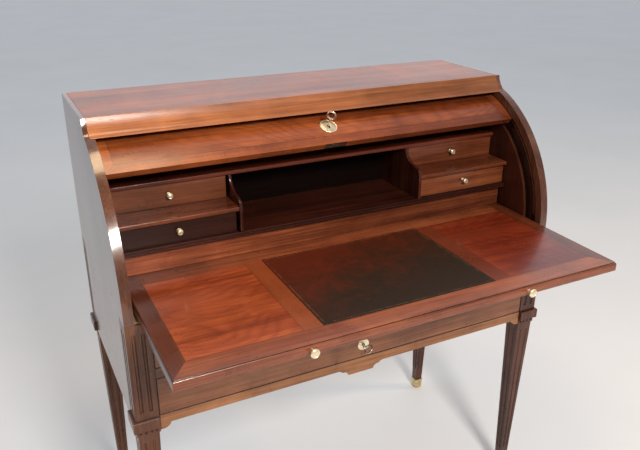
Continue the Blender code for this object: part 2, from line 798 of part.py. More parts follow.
ARM_MIDDLE = 85.4
for side, sign in (("left", -1), ("right", 1)):
    local = [(0.262, 0.0110), (0.2690, 0.0180), (0.2765, 0.0360)]
    outline = []
    for step in range(13):
        turn = math.radians(51.8 + (308.2 - 51.8) * step / 12)
        outline.append((0.0140 * math.cos(turn), 0.0140 * math.sin(turn)))
    outline += [(reach, -wide) for reach, wide in local]
    for step in range(7):
        turn = math.radians(-7.2 + 14.4 * step / 6)
        outline.append((0.2915 * math.cos(turn), 0.2915 * math.sin(turn)))
    outline += [(reach, wide) for reach, wide in local[::-1]]
    out_dir, edge_dir = around(ARM_MIDDLE)
    arm_outline = [
        (PIVOT_Y + u * out_dir[1] + v * edge_dir[1], PIVOT_Z + u * out_dir[2] + v * edge_dir[2])
        for u, v in outline
    ]
    arm = mesh_object(
        "cylinder_arm_" + side, *prism_x(arm_outline, sign * 0.4818, sign * 0.4858), "iron", 30
    )
    combine(
        arm,
        "pin",
        turned((sign * 0.4830, PIVOT_Y, PIVOT_Z), (sign, 0, 0), (0, 1, 0), [(0.0, PIN_R), (0.0130, PIN_R)]),
        "UNION",
    )
    set_origin(arm, (sign * 0.4838, PIVOT_Y, PIVOT_Z))


# ---- drawers -----------------------------------------------------------------------------------------
def drawer_tray(name, x, y, z, wall, floor):
    """A box with an open top and an open front, closed in front by the drawer's own front."""
    tray = mesh_object(name, *box(*x, *y, *z), "oak_plain")
    combine(
        tray, "hollow", box(x[0] + wall, x[1] - wall, y[0] - 0.01, y[1] - wall, z[0] + floor, z[1] + 0.01)
    )
    return tray


for level, span in (("upper", UPPER_DRAWER_Z), ("lower", LOWER_DRAWER_Z)):
    front = mesh_object(
        level + "_drawer_front",
        *box(
            -(OPENING_HALF - 0.0012),
            OPENING_HALF - 0.0012,
            DRAWER_FACE_Y,
            DRAWER_FACE_Y + DRAWER_FRONT_THICK,
            *span,
        ),
        "mahogany" if level == "lower" else "mahogany_dark",
    )
    lock_z = LOCK_Z if level == "lower" else 0.6775
    combine(
        front,
        "keyhole",
        turned((LOCK_X, -0.150, lock_z), (0, 1, 0), (1, 0, 0), [(0.0, 0.0034), (0.040, 0.0034)], 16),
    )
    drawer_tray(
        level + "_drawer_tray",
        (-DRAWER_HALF, DRAWER_HALF),
        (DRAWER_FACE_Y + DRAWER_FRONT_THICK + GAP, DRAWER_REAR_Y),
        (span[0], span[1] - 0.0080),
        0.010,
        0.007,
    )
    combine(front, "slot", box(LOCK_X - 0.0012, LOCK_X + 0.0012, -0.15, -0.1320, lock_z - 0.0080, lock_z))
    plate = mesh_object(
        level + "_drawer_escutcheon",
        *washer(
            (LOCK_X, DRAWER_FACE_Y - GAP, lock_z), (0, -1, 0), (1, 0, 0), 0.0140, 0.0034, 0.0, 0.0012, 0.0005
        ),
        "brass",
        40,
    )
    combine(plate, "slot", box(LOCK_X - 0.0012, LOCK_X + 0.0012, -0.15, -0.1320, lock_z - 0.0080, lock_z))
LOCK_FRONT_Y = DRAWER_FACE_Y + DRAWER_FRONT_THICK + GAP
drawer_lock = mesh_object(
    "lower_drawer_lock",
    *box(LOCK_X - 0.0220, LOCK_X + 0.0220, LOCK_FRONT_Y, -0.1085, 0.5360, 0.6000),
    "iron",
)
combine(
    drawer_lock,
    "chamber",
    turned((LOCK_X, -0.1300, LOCK_Z), (0, 1, 0), (1, 0, 0), [(0.0, 0.0105), (0.0145, 0.0105)], 24),
)
combine(drawer_lock, "bolt_way", box(LOCK_X - 0.0105, LOCK_X + 0.0105, -0.1153, -0.1105, 0.5620, 0.61))
mesh_object(
    "lower_drawer_bolt",
    *box(LOCK_X - 0.0095, LOCK_X + 0.0095, -0.1147, -0.1111, 0.5630, 0.6000),
    "steel",
)
DIAGONAL = math.sqrt(0.5)
drawer_key = key_object(
    "lower_drawer_key",
    (LOCK_X, DRAWER_FACE_Y, LOCK_Z),
    (0, -1, 0),
    (DIAGONAL, 0, DIAGONAL),
    -0.0235,
    0.0225,
    0.0080,
)
set_origin(drawer_key, (LOCK_X, DRAWER_FACE_Y, LOCK_Z))

for level, (front_y, z0, z1) in (("upper", SMALL_UPPER), ("lower", SMALL_LOWER)):
    for side, sign in (("left", -1), ("right", 1)):
        name = "small_drawer_" + level + "_" + side
        x = sorted((sign * SMALL_X[0], sign * SMALL_X[1]))
        body = mesh_object(name, *box(*x, front_y, NICHE_BACK_Y - 0.004, z0 + GAP, z1), "mahogany_dark")
        combine(
            body,
            "hollow",
            box(x[0] + 0.006, x[1] - 0.006, front_y + 0.010, NICHE_BACK_Y - 0.010, z0 + 0.006, z1 + 0.01),
        )
        knob_z = 0.8385 if level == "lower" else 0.8955
        mesh_object(
            "small_knob_" + level + "_" + side,
            *turned((sign * 0.3505, front_y - GAP, knob_z), (0, -1, 0), (1, 0, 0), SMALL_KNOB, 16),
            "brass",
            50,
        )
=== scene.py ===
import math

import bmesh
import bpy
from mathutils import Matrix, Vector


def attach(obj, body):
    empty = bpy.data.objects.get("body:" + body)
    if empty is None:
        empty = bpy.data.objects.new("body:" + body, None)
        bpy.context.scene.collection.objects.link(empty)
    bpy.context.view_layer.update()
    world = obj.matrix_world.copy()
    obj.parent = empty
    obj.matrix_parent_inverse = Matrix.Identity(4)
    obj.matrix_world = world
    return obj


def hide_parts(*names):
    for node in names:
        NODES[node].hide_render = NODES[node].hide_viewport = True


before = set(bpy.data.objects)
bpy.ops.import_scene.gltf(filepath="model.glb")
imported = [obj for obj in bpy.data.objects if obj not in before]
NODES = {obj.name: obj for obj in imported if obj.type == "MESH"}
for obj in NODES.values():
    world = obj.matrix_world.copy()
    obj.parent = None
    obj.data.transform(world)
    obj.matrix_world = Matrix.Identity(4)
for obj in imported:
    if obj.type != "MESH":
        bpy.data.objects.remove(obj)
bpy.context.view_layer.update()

# Datum of the case and the main places on it, in metres
CASE_Y = 0.0310
PIVOT = Vector((0.0, 0.1723 + CASE_Y, 0.7406))
SHELL_OUTER_R = 0.2925
SHELL_LOW = 53.1
SHELL_HIGH = 117.7
SLIDE_FRONT_Y = -0.3753 + CASE_Y
DRAWER_FACE_Y = -0.1404 + CASE_Y
GAP = 0.0003
KEY_X = 0.004
LOWER_KEY_Z = 0.5510
UPPER_KEY_Z = 0.6775
CYLINDER_KEY_ANGLE = 62.7
CYLINDER_KEY_LEAN = 37.0
KEYHOLE_R = 0.0034

# Fields, bands, and the cylinder's run with its painted shade and painted highlight line, that the
# materials draw, in metres from the middle of the desk
RUN_HALF = 0.4885
RUN_R = 0.2950
HIGHLIGHT_LINE_R = 0.2835
DRAWER_JOINT_X = 0.4523
RAIL_JOINT_X = 0.4532
PANEL_X = 0.3348
PANEL_Y = -0.1855
PANEL_HALF_X = 0.1048
PANEL_HALF_Y = 0.1435
FRAME_X = 0.2300
END_BAND_X = 0.4396
FRONT_BAND_Y = -0.329
QUIRK_LOW_Z = 0.7527
QUIRK_HIGH_Z = 0.7547
SLIDE_BARE_Z = 0.7350
CYLINDER_FIELD_X = 0.4590
CYLINDER_BAND = 0.0210
RULE_HALF_X = 0.1855
RULE_HALF_Y = 0.1401
RULE_Y = -0.18435

# Faces of a box whose corners are listed as one ring and then the ring opposite
BOX_FACES = ((3, 2, 1, 0), (4, 5, 6, 7), (0, 1, 5, 4), (1, 2, 6, 5), (2, 3, 7, 6), (3, 0, 4, 7))


# ---- camera ------------------------------------------------------------------------------------------
def make_camera():
    yaw, pitch, roll = -0.4658, -0.4037, 0.0052
    ahead = Vector(
        (-math.sin(yaw) * math.cos(pitch), math.cos(yaw) * math.cos(pitch), math.sin(pitch))
    )
    right = Vector((math.cos(yaw), math.sin(yaw), 0.0))
    up = right.cross(ahead)
    right, up = (
        math.cos(roll) * right + math.sin(roll) * up,
        -math.sin(roll) * right + math.cos(roll) * up,
    )
    data = bpy.data.cameras.new("camera")
    data.sensor_width = 36.0
    data.lens = 38.94
    camera = bpy.data.objects.new("camera", data)
    turn = Matrix((right, up, -ahead)).transposed().to_4x4()
    camera.matrix_world = Matrix.Translation((-0.6675, -1.2603 + CASE_Y, 1.3927)) @ turn
    bpy.context.scene.collection.objects.link(camera)
    bpy.context.scene.camera = camera


make_camera()


# ---- shader building ---------------------------------------------------------------------------------
class Look:
    """One material, with short calls for the nodes in it."""

    def __init__(self, name):
        self.material = bpy.data.materials.new(name)
        self.material.use_nodes = True
        self.nodes = self.material.node_tree.nodes
        self.links = self.material.node_tree.links
        self.shader = self.nodes["Principled BSDF"]
        self.place = self.nodes.new("ShaderNodeTexCoord").outputs["Object"]
        split = self.nodes.new("ShaderNodeSeparateXYZ")
        self.links.new(self.place, split.inputs[0])
        self.x, self.y, self.z = split.outputs

    def feed(self, socket, value):
        if isinstance(value, bpy.types.NodeSocket):
            self.links.new(value, socket)
        elif isinstance(value, (tuple, list)) and len(value) == 3 and socket.type == "RGBA":
            socket.default_value = (*value, 1.0)
        else:
            socket.default_value = value

    def put(self, name, value):
        self.feed(self.shader.inputs[name], value)

    def math(self, operation, *values, clamp=False):
        node = self.nodes.new("ShaderNodeMath")
        node.operation = operation
        node.use_clamp = clamp
        for socket, value in zip(node.inputs, values):
            self.feed(socket, value)
        return node.outputs[0]

    def join(self, x, y, z):
        node = self.nodes.new("ShaderNodeCombineXYZ")
        for socket, value in zip(node.inputs, (x, y, z)):
            self.feed(socket, value)
        return node.outputs[0]

    def scaled(self, vector, scale, shift=(0.0, 0.0, 0.0)):
        node = self.nodes.new("ShaderNodeVectorMath")
        node.operation = "MULTIPLY_ADD"
        self.feed(node.inputs[0], vector)
        node.inputs[1].default_value = scale
        node.inputs[2].default_value = shift
        return node.outputs[0]

    def blend(self, fac, low, high, mode="MIX"):
        """low where fac is 0, high where it is 1, for colours."""
        node = self.nodes.new("ShaderNodeMix")
        node.data_type = "RGBA"
        node.blend_type = mode
        self.feed(node.inputs["Factor"], fac)
        self.feed(node.inputs[6], low)
        self.feed(node.inputs[7], high)
        return node.outputs[2]

    def noise(self, vector, scale=1.0, detail=4.0, rough=0.55, distort=0.0):
        node = self.nodes.new("ShaderNodeTexNoise")
        self.feed(node.inputs["Vector"], vector)
        node.inputs["Scale"].default_value = scale
        node.inputs["Detail"].default_value = detail
        node.inputs["Roughness"].default_value = rough
        node.inputs["Distortion"].default_value = distort
        return node.outputs["Fac"]

    def ramp(self, fac, stops):
        node = self.nodes.new("ShaderNodeValToRGB")
        self.feed(node.inputs[0], fac)
        ramp = node.color_ramp
        while len(ramp.elements) < len(stops):
            ramp.elements.new(0.5)
        for element, (place, colour) in zip(ramp.elements, stops):
            element.position = place
            element.color = (*colour, 1.0) if isinstance(colour, tuple) else (colour, colour, colour, 1.0)
        return node.outputs[0]

    def step(self, value, low, high):
        """0 below low, 1 above high, smooth between."""
        node = self.nodes.new("ShaderNodeMapRange")
        node.interpolation_type = "SMOOTHSTEP"
        self.feed(node.inputs[0], value)
        node.inputs[1].default_value = low
        node.inputs[2].default_value = high
        return node.outputs[0]

    def near(self, value, target, reach):
        """1 where value is within reach of target."""
        gap = self.math("ABSOLUTE", self.math("SUBTRACT", value, target))
        return self.math("SUBTRACT", 1.0, self.step(gap, reach * 0.6, reach))

    def edges(self, radius):
        """1 on outer corners of the mesh, from a small rounding of the normal."""
        rounded = self.nodes.new("ShaderNodeBevel")
        rounded.samples = 4
        rounded.inputs["Radius"].default_value = radius
        flat = self.nodes.new("ShaderNodeNewGeometry")
        dot = self.nodes.new("ShaderNodeVectorMath")
        dot.operation = "DOT_PRODUCT"
        self.links.new(rounded.outputs[0], dot.inputs[0])
        self.links.new(flat.outputs["Normal"], dot.inputs[1])
        return self.step(self.math("SUBTRACT", 1.0, dot.outputs["Value"]), 0.02, 0.25)

    def hollows(self, distance):
        """1 deep in grooves and corners, 0 on open faces."""
        node = self.nodes.new("ShaderNodeAmbientOcclusion")
        node.samples = 5
        node.inputs["Distance"].default_value = distance
        return self.math("SUBTRACT", 1.0, self.step(node.outputs["AO"], 0.25, 0.90))

    def bump(self, height, distance, strength=1.0):
        node = self.nodes.new("ShaderNodeBump")
        node.inputs["Strength"].default_value = strength
        node.inputs["Distance"].default_value = distance
        self.feed(node.inputs["Height"], height)
        self.put("Normal", node.outputs[0])


# Dark, middle and light tone of each wood; RUBY is a tint. Some pieces take a darker tone as painted
# shade, and some a lighter one as painted light; this is noted where they are used.
MAHOGANY = ((0.060, 0.0125, 0.0050), (0.150, 0.0380, 0.0140), (0.285, 0.0850, 0.0290))
ORANGE = ((0.110, 0.0230, 0.0070), (0.250, 0.0600, 0.0170), (0.420, 0.1200, 0.0330))
BROWN = ((0.055, 0.0170, 0.0080), (0.130, 0.0450, 0.0200), (0.220, 0.0850, 0.0380))
AMBER = ((0.150, 0.0420, 0.0130), (0.300, 0.1000, 0.0330), (0.450, 0.1750, 0.0620))
RUBY = (0.48, 0.32, 0.36)
RUSSET = ((0.090, 0.0190, 0.0070), (0.200, 0.0490, 0.0175), (0.340, 0.0980, 0.0330))
FLAME = ((0.140, 0.0230, 0.0070), (0.320, 0.0600, 0.0170), (0.460, 0.1080, 0.0290))
TAN = ((0.110, 0.0330, 0.0130), (0.240, 0.0840, 0.0350), (0.370, 0.1500, 0.0660))
HONEY = ((0.160, 0.0560, 0.0200), (0.330, 0.1300, 0.0480), (0.480, 0.2200, 0.0860))
TAWNY = ((0.090, 0.0220, 0.0080), (0.190, 0.0580, 0.0220), (0.310, 0.1100, 0.0450))
SMOKE = ((0.012, 0.0030, 0.0018), (0.028, 0.0070, 0.0038), (0.055, 0.0160, 0.0080))
UMBER = ((0.035, 0.0110, 0.0060), (0.085, 0.0280, 0.0150), (0.160, 0.0600, 0.0330))
WINE = ((0.018, 0.0045, 0.0025), (0.048, 0.0110, 0.0060), (0.095, 0.0260, 0.0130))
RED = ((0.050, 0.0090, 0.0040), (0.125, 0.0240, 0.0100), (0.220, 0.0520, 0.0210))
NIGHT = ((0.002, 0.0008, 0.0006), (0.005, 0.0016, 0.0010), (0.011, 0.0034, 0.0020))


def grain(look, vector, tones, seed=0.0, figure=1.0, loops=0.0):
    """Colour and pore depth of one veneer whose grain runs along the vector's first axis."""
    shift = (seed * 3.7, seed * 1.9, seed * 5.3)
    flow = look.noise(look.scaled(vector, (1.3, 7.0, 7.0), shift), 1.0, 3.0, 0.5, 0.6)
    stripe = look.noise(look.scaled(vector, (2.2, 46.0, 46.0), shift), 1.0, 4.0, 0.6, 0.9)
    streak = look.noise(look.scaled(vector, (7.0, 330.0, 330.0), shift), 1.0, 3.0, 0.65, 0.2)
    curl = look.noise(look.scaled(vector, (9.0, 5.0, 5.0), shift), 1.0, 2.0, 0.5, 1.2)
    amount = look.math("MULTIPLY", flow, 0.42 * figure)
    amount = look.math("MULTIPLY_ADD", stripe, 0.34, amount)
    amount = look.math("MULTIPLY_ADD", streak, 0.40, amount)
    amount = look.math("MULTIPLY_ADD", curl, 0.16 * figure, amount)
    centre = 0.5 * (0.42 * figure + 0.34 + 0.40 + 0.16 * figure)
    fac = look.math("MULTIPLY_ADD", look.math("SUBTRACT", amount, centre), 3.1, 0.5, clamp=True)
    colour = look.ramp(fac, [(0.0, tones[0]), (0.5, tones[1]), (1.0, tones[2])])
    if loops:
        wide = look.noise(look.scaled(vector, (3.0, 6.5, 6.5), shift), 1.0, 1.0, 0.4, 0.3)
        turn = look.math("MULTIPLY_ADD", streak, 5.0, look.math("MULTIPLY", wide, 150.0))
        ring = look.math("POWER", look.math("MULTIPLY_ADD", look.math("SINE", turn), 0.5, 0.5), 2.0)
        colour = look.blend(look.math("MULTIPLY", ring, loops), colour, tones[0])
    pores = look.noise(look.scaled(vector, (55.0, 1500.0, 1500.0), shift), 1.0, 2.0, 0.5)
    pores = look.step(pores, 0.60, 0.70)
    colour = look.blend(look.math("MULTIPLY", pores, 0.45), colour, tones[0])
    return colour, pores


def polish(
    look,
    colour,
    pores,
    rough=0.26,
    coat=0.25,
    coat_rough=0.10,
    wear=0.5,
    tone=None,
    shine=0.4,
    dirt=0.0,
    fade=None,
    bare=None,
):
    """French polish over a veneer: gloss that dulls in patches, worn pale edges, filled pores and painted
    shade in grooves and corners.

    The painted light run scales the colour at the left end, the middle and the right end, as painted light
    and shade.
    bare is 1 where the wood has no polish.
    """
    patch = look.noise(look.place, 9.0, 5.0, 0.6)
    dust = look.noise(look.place, 42.0, 3.0, 0.6)
    mottled = look.ramp(patch, [(0.25, 0.72), (0.55, 1.0), (0.80, 1.16)])
    colour = look.blend(1.0, colour, mottled, "MULTIPLY")
    if wear:
        edge = look.math("MULTIPLY", look.edges(0.0011), look.step(dust, 0.35, 0.62))
        edge = look.math("MULTIPLY", edge, wear)
        colour = look.blend(edge, colour, tone or (0.36, 0.15, 0.062))
    # Painted light and shade: the colour is scaled from the left end to the right end
    if fade:
        stops = [(0.0, fade[0]), (0.5, fade[1]), (1.0, fade[2])]
        run = look.ramp(look.math("ADD", look.x, 0.5), stops)
        colour = look.blend(1.0, colour, run, "MULTIPLY")
    # Painted shade: grooves and corners are darkened towards near black
    if dirt:
        hollow_shade_mask = look.math("MULTIPLY", look.hollows(0.010), dirt)
        colour = look.blend(hollow_shade_mask, colour, (0.012, 0.0050, 0.0030))
    gloss = look.math("MULTIPLY_ADD", patch, 0.16, rough - 0.08)
    gloss = look.math("MULTIPLY_ADD", pores, 0.12, gloss)
    varnish = coat
    if bare:
        colour = look.blend(bare, colour, (0.085, 0.040, 0.020))
        gloss = look.math("MAXIMUM", gloss, look.math("MULTIPLY", bare, 0.80))
        varnish = look.math("MULTIPLY_ADD", bare, -coat, coat)
    look.put("Base Color", colour)
    look.put("Roughness", gloss)
    look.put("IOR", 1.5)
    look.put("Specular IOR Level", shine)
    look.put("Coat Weight", varnish)
    look.put("Coat Roughness", coat_rough)
    ripple = look.noise(look.place, 5.5, 2.0, 0.5)
    height = look.math("MULTIPLY_ADD", ripple, 3.0, look.math("MULTIPLY", pores, -0.10))
    look.bump(height, 0.00045, 0.5)
    return look.material


def turned_vector(look, axis):
    """Object coordinates with the grain's axis first."""
    if axis == "x":
        return look.place
    if axis == "y":
        return look.join(look.y, look.x, look.z)
    return look.join(look.z, look.x, look.y)


def wood(name, axis, tones, seed, figure=1.0, **gloss):
    """Polished veneer whose grain runs along one axis of the desk."""
    look = Look(name)
    colour, pores = grain(look, turned_vector(look, axis), tones, seed, figure)
    return polish(look, colour, pores, **gloss)


def side_wood(name, seed, tones):
    """Side board: upright grain; inside, painted shade over the run where the cylinder slides, with a
    painted highlight line in it.
    """
    look = Look(name)
    colour, pores = grain(look, turned_vector(look, "z"), tones, seed)
    dy = look.math("SUBTRACT", look.y, PIVOT.y)
    dz = look.math("SUBTRACT", look.z, PIVOT.z)
    reach = look.math("SQRT", look.math("ADD", look.math("POWER", dy, 2.0), look.math("POWER", dz, 2.0)))
    inside = look.math("LESS_THAN", look.math("ABSOLUTE", look.x), RUN_HALF)
    run = look.math("MULTIPLY", inside, look.math("LESS_THAN", reach, RUN_R))
    # Painted shade: the run where the cylinder slides is darkened to near black
    colour = look.blend(look.math("MULTIPLY", run, 0.85), colour, (0.012, 0.0045, 0.0030))
    # Painted highlight: a pale line in the run, from just above the pivot upward
    line = look.math("MULTIPLY", look.near(reach, HIGHLIGHT_LINE_R, 0.0013), run)
    line = look.math("MULTIPLY", line, look.step(dz, 0.022, 0.026))
    colour = look.blend(look.math("MULTIPLY", line, 0.8), colour, (0.200, 0.1000, 0.0700))
    return polish(look, colour, pores, rough=0.22, coat=0.6, coat_rough=0.09)


def front_wood(name, tones, seed, low, high, half, figure=1.0):
    """A drawer front or rail with dark lines of old polish along its joints."""
    look = Look(name)
    colour, pores = grain(look, look.place, tones, seed, figure)
    lines = look.near(look.z, high, 0.0016)
    lines = look.math("MAXIMUM", lines, look.near(look.z, low, 0.0016))
    lines = look.math("MAXIMUM", lines, look.near(look.math("ABSOLUTE", look.x), half, 0.0018))
    colour = look.blend(look.math("MULTIPLY", lines, 0.90), colour, (0.016, 0.0050, 0.0025))
    return polish(look, colour, pores, rough=0.29, coat=0.15, wear=0.0, shine=0.35)


def slide_wood(name):
    """Slide: two framed panels of flame figure and a crossbanded border, mitred at the front."""
    look = Look(name)
    y = look.math("SUBTRACT", look.y, CASE_Y)
    across = look.math("ABSOLUTE", look.x)
    # Distance outside the panel and outside the leather's frame
    px = look.math("ABSOLUTE", look.math("SUBTRACT", across, PANEL_X))
    px = look.math("SUBTRACT", px, PANEL_HALF_X)
    py = look.math("ABSOLUTE", look.math("ADD", y, -PANEL_Y))
    py = look.math("SUBTRACT", py, PANEL_HALF_Y)
    outside = look.math("MAXIMUM", px, py)
    panel = look.math("LESS_THAN", outside, 0.0)
    line = look.near(outside, 0.0, 0.0007)
    inner = look.math("LESS_THAN", across, FRAME_X)
    middle = look.math("MULTIPLY", inner, look.math("LESS_THAN", py, 0.0))
    run = look.math("MULTIPLY", look.math("SUBTRACT", across, END_BAND_X), 1.35)
    front = look.math("SUBTRACT", FRONT_BAND_Y, y)
    side = look.math("GREATER_THAN", across, END_BAND_X)
    side = look.math("MULTIPLY", side, look.math("GREATER_THAN", run, front))
    upright = look.math("MAXIMUM", side, middle)
    flame = look.join(look.math("MULTIPLY_ADD", look.y, 0.55, look.x), look.y, look.z)
    colour, pores = grain(look, flame, FLAME, 1.0, 0.9, 0.34)
    # Right half tinted darker and mauve: partly the veneer's own colour, partly painted light and
    # reflection
    colour = look.blend(look.step(look.x, 0.10, 0.30), colour, look.blend(1.0, colour, RUBY, "MULTIPLY"))
    rail, _ = grain(look, look.place, RUSSET, 2.0)
    stile, _ = grain(look, turned_vector(look, "y"), MAHOGANY, 3.0)
    middle_tone = look.blend(look.math("MULTIPLY", middle, 0.6), stile, (0.30, 0.065, 0.018))
    frame_colour = look.blend(upright, rail, middle_tone)
    # Left end band darkened, and the right half of the middle stile darkened: partly the wood's colour,
    # partly painted shade
    dark_side = look.math("MULTIPLY", side, look.math("LESS_THAN", look.x, 0.0))
    frame_colour = look.blend(look.math("MULTIPLY", dark_side, 0.6), frame_colour, (0.050, 0.0090, 0.0050))
    right_middle = look.math("MULTIPLY", middle, look.math("GREATER_THAN", look.x, 0.0))
    right_middle = look.math("MULTIPLY", right_middle, 0.8)
    frame_colour = look.blend(right_middle, frame_colour, (0.095, 0.0160, 0.0070))
    colour = look.blend(panel, frame_colour, colour)
    line = look.math("MAXIMUM", line, look.math("MULTIPLY", look.near(run, front, 0.0007), side))
    # Painted shade: a dark line in the groove under the front arris, between QUIRK_LOW_Z and QUIRK_HIGH_Z
    quirk = look.math("LESS_THAN", look.z, QUIRK_HIGH_Z)
    quirk = look.math("MULTIPLY", quirk, look.math("GREATER_THAN", look.z, QUIRK_LOW_Z))
    line = look.math("MAXIMUM", line, look.math("MULTIPLY", quirk, 1.3))
    colour = look.blend(look.math("MULTIPLY", line, 0.65), colour, (0.030, 0.0080, 0.0040))
    pores = look.math("MAXIMUM", pores, look.math("MULTIPLY", line, 1.0))
    underside = look.math("LESS_THAN", look.z, SLIDE_BARE_Z)
    return polish(look, colour, pores, rough=0.28, coat=0.3, coat_rough=0.13, bare=underside)


def cylinder_wood(name):
    """Cylinder: a field of grain along the width, a crossbanded border and a thin line between."""
    look = Look(name)
    dy = look.math("SUBTRACT", PIVOT.y, look.y)
    dz = look.math("SUBTRACT", look.z, PIVOT.z)
    angle = look.math("ARCTAN2", dz, dy)
    arc = look.math("MULTIPLY", look.math("SUBTRACT", angle, math.radians(SHELL_LOW)), SHELL_OUTER_R)
    length = math.radians(SHELL_HIGH - SHELL_LOW) * SHELL_OUTER_R
    across = look.math("ABSOLUTE", look.x)
    px = look.math("SUBTRACT", across, CYLINDER_FIELD_X)
    low = look.math("SUBTRACT", CYLINDER_BAND, arc)
    high = look.math("SUBTRACT", arc, length - CYLINDER_BAND)
    py = look.math("MAXIMUM", low, high)
    outside = look.math("MAXIMUM", px, py)
    border = look.math("GREATER_THAN", outside, 0.0)
    side = look.math("MULTIPLY", border, look.math("GREATER_THAN", px, py))
    field = look.join(look.x, arc, look.math("MULTIPLY", dy, 0.2))
    colour, pores = grain(look, field, ORANGE, 4.0, 1.0, 0.30)
    band, _ = grain(look, look.join(arc, look.x, look.z), MAHOGANY, 5.0)
    end, _ = grain(look, look.join(look.x, arc, look.z), ORANGE, 6.0)
    edge_colour = look.blend(side, look.blend(0.55, band, end), end)
    colour = look.blend(border, colour, edge_colour)
    line = look.near(outside, 0.0, 0.0008)
    mitre = look.math("MULTIPLY", look.near(look.math("SUBTRACT", px, py), 0.0, 0.0007), border)
    line = look.math("MAXIMUM", line, mitre)
    colour = look.blend(look.math("MULTIPLY", line, 0.7), colour, (0.035, 0.0090, 0.0045))
    # Painted light and shade: lighter and warmer at the left end, darker towards the right end
    shade = look.ramp(
        look.math("ADD", look.x, 0.5),
        [(0.05, (1.25, 1.22, 1.05)), (0.45, (1.12, 1.06, 0.98)), (0.78, (0.60, 0.52, 0.50))],
    )
    colour = look.blend(1.0, colour, shade, "MULTIPLY")
    return polish(look, colour, pores, rough=0.28, coat=0.15, coat_rough=0.16)


def leather_look(name):
    """Old hide: olive brown where least used, rubbed red brown, with fine cracks and a tooled line."""
    look = Look(name)
    y = look.math("SUBTRACT", look.y, CASE_Y)
    cloud = look.noise(look.place, 13.0, 8.0, 0.70, 0.8)
    fine = look.noise(look.place, 60.0, 4.0, 0.65)
    lean = look.math("MULTIPLY", look.math("ADD", y, 0.18), 1.9)
    lean = look.math("MULTIPLY_ADD", look.x, -0.9, lean)
    rubbed = look.math("ADD", look.math("MULTIPLY_ADD", fine, 0.25, cloud), lean)
    rubbed = look.step(rubbed, 0.38, 1.00)
    colour = look.ramp(
        rubbed,
        [(0.0, (0.021, 0.0120, 0.0065)), (0.5, (0.046, 0.0125, 0.0055)), (1.0, (0.088, 0.0140, 0.0055))],
    )
    specks = look.step(look.noise(look.place, 260.0, 3.0, 0.6), 0.55, 0.72)
    colour = look.blend(look.math("MULTIPLY", specks, 0.35), colour, (0.020, 0.0120, 0.0080))
    dx = look.math("SUBTRACT", look.math("ABSOLUTE", look.x), RULE_HALF_X)
    dy = look.math("SUBTRACT", look.math("ABSOLUTE", look.math("ADD", y, -RULE_Y)), RULE_HALF_Y)
    rule = look.near(look.math("MAXIMUM", dx, dy), 0.0, 0.0007)
    rule = look.math("MULTIPLY", rule, look.step(fine, 0.40, 0.55))
    colour = look.blend(look.math("MULTIPLY", rule, 0.5), colour, (0.24, 0.15, 0.055))
    look.put("Base Color", colour)
    look.put("Roughness", look.math("MULTIPLY_ADD", fine, 0.20, 0.30))
    look.put("Specular IOR Level", 0.16)
    cracks = look.nodes.new("ShaderNodeTexVoronoi")
    cracks.feature = "DISTANCE_TO_EDGE"
    cracks.inputs["Scale"].default_value = 420.0
    look.links.new(look.place, cracks.inputs["Vector"])
    grained = look.step(cracks.outputs["Distance"], 0.0, 0.16)
    height = look.math("MULTIPLY_ADD", fine, 0.8, look.math("MULTIPLY", grained, 0.5))
    height = look.math("SUBTRACT", height, look.math("MULTIPLY", rule, 0.8))
    look.bump(height, 0.00025, 0.8)
    return look.material


def metal_look(name, bright, dull, rough, metallic=1.0):
    """Worn metal: cloudy tarnish, brighter edges and a fine tooth."""
    look = Look(name)
    cloud = look.noise(look.place, 130.0, 4.0, 0.6, 0.4)
    fine = look.noise(look.place, 900.0, 3.0, 0.6)
    tarnish = look.step(cloud, 0.3, 0.8)
    colour = look.blend(tarnish, bright, dull)
    edge = look.math("MULTIPLY", look.edges(0.0006), 0.6)
    look.put("Base Color", look.blend(edge, colour, bright))
    look.put("Metallic", metallic)
    look.put("Roughness", look.math("MULTIPLY_ADD", tarnish, 0.22, rough))
    look.bump(look.math("ADD", fine, look.math("MULTIPLY", cloud, 2.0)), 0.00008, 0.6)
    return look.material


def oak_look(name, axis, seed):
    """Plain unpolished oak with darker stains."""
    look = Look(name)
    tones = ((0.120, 0.062, 0.027), (0.230, 0.130, 0.060), (0.330, 0.200, 0.100))
    colour, pores = grain(look, turned_vector(look, axis), tones, seed)
    stain = look.noise(look.place, 4.0, 5.0, 0.6)
    colour = look.blend(look.step(stain, 0.5, 0.8), colour, (0.090, 0.050, 0.026))
    look.put("Base Color", colour)
    look.put("Roughness", look.math("MULTIPLY_ADD", pores, 0.15, 0.58))
    look.bump(look.math("MULTIPLY", pores, -1.0), 0.0003, 0.7)
    return look.material


BRASS = metal_look("brass", (1.0, 0.88, 0.64), (0.76, 0.62, 0.40), 0.34)
OLD_BRASS = metal_look("old_brass", (0.80, 0.63, 0.33), (0.42, 0.31, 0.16), 0.28)
BROWN_IRON = metal_look("brown_iron", (0.110, 0.0520, 0.0300), (0.045, 0.0200, 0.0120), 0.50, 0.5)
STEEL = metal_look("steel", (0.72, 0.68, 0.62), (0.40, 0.35, 0.29), 0.22)
IRON = metal_look("iron", (0.20, 0.19, 0.18), (0.075, 0.060, 0.050), 0.42)

